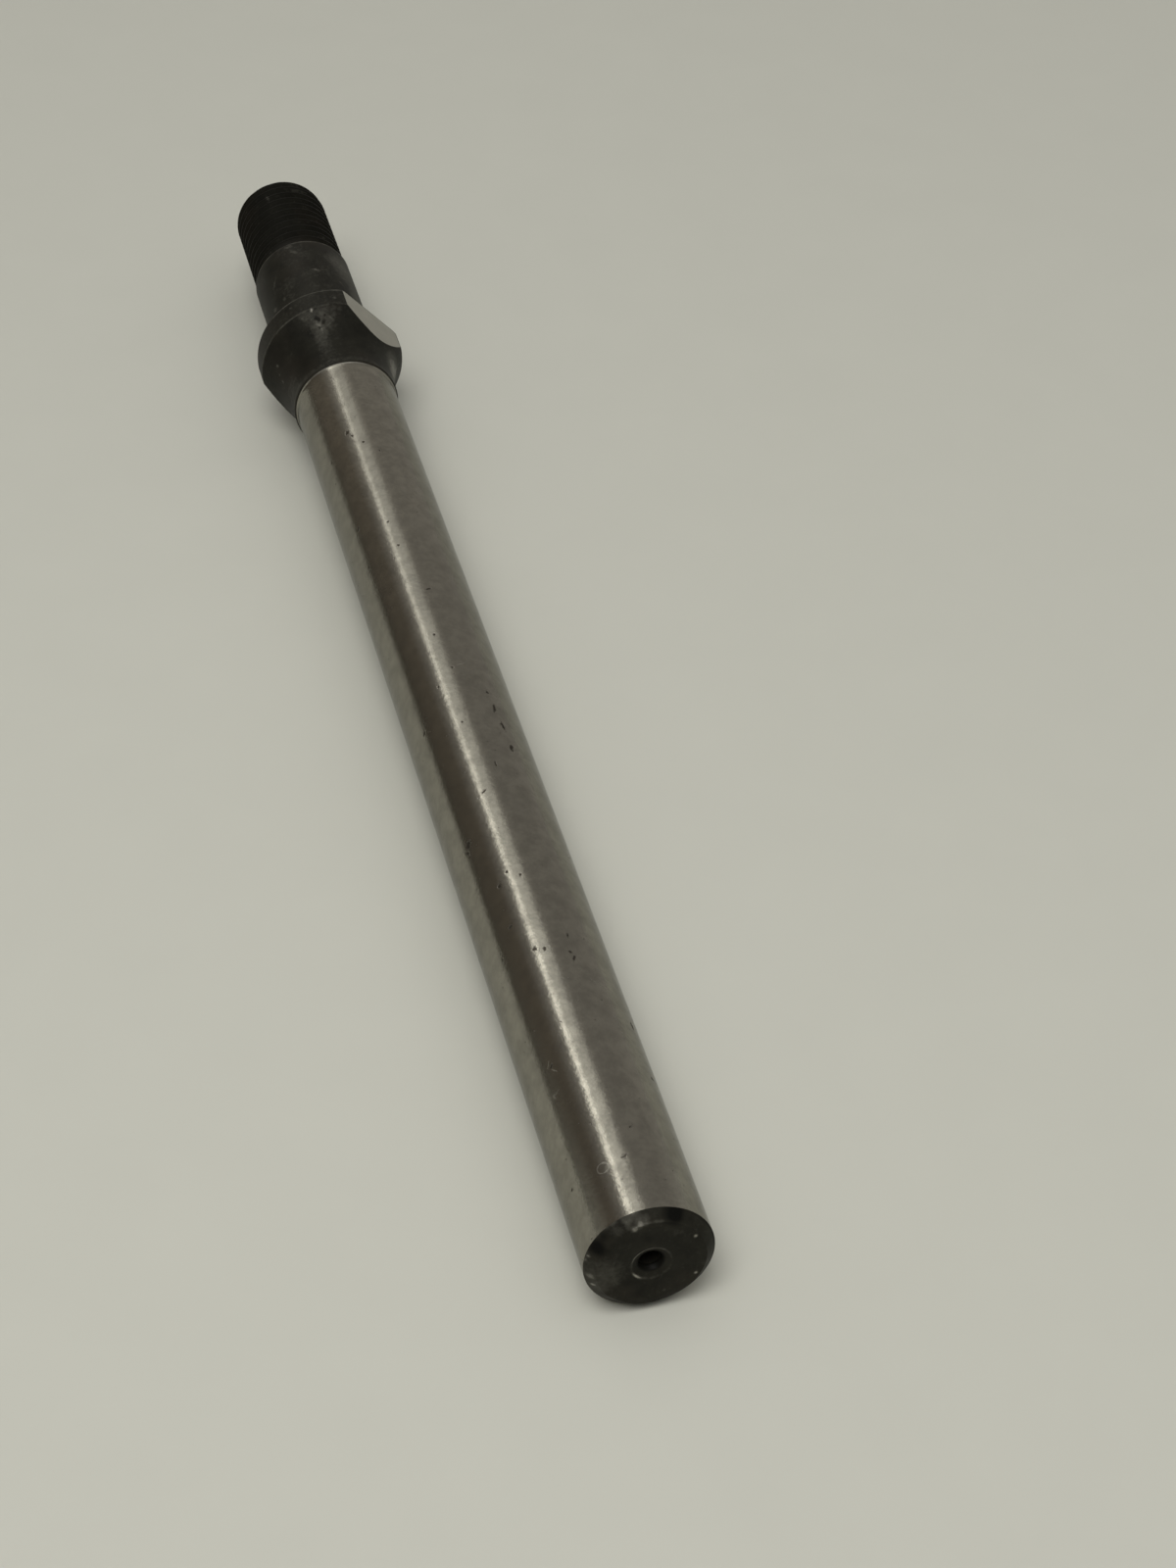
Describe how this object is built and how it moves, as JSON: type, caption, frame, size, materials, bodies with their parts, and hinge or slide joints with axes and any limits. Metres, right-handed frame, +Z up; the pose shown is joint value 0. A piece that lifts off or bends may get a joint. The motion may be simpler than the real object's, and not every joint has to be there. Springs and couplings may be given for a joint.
{
  "type": "threaded shoulder pin",
  "caption": "Round steel pin with a long ground shaft, a flared collar with opposed spanner flats, a plain shank and a threaded stud in line.",
  "frame": {"origin": "on the pin's axis, in the collar's seating face, where the shank starts", "axes": "+X along the axis to the free ground end, so -X runs to the thread; +Z up as the pin lies; the flat nearer the top faces 48 degrees from +Z towards +Y"},
  "size_m": [0.3945, 0.036, 0.036],
  "materials": {
    "ground_steel": "finely ground round the axis, satin bright, with a few rust pits",
    "black_oxide": "blackened steel, satin, with bright milled flats and edges worn to bare metal",
    "black_thread": "blackened and oily steel, with crests a little lighter than the roots"
  },
  "bodies": {
    "root": {"centred_end": "black_oxide", "ground_shaft": "ground_steel", "taper_collar": "black_oxide", "plain_shank": "black_oxide", "threaded_stud": "black_thread"}
  },
  "joints": []
}
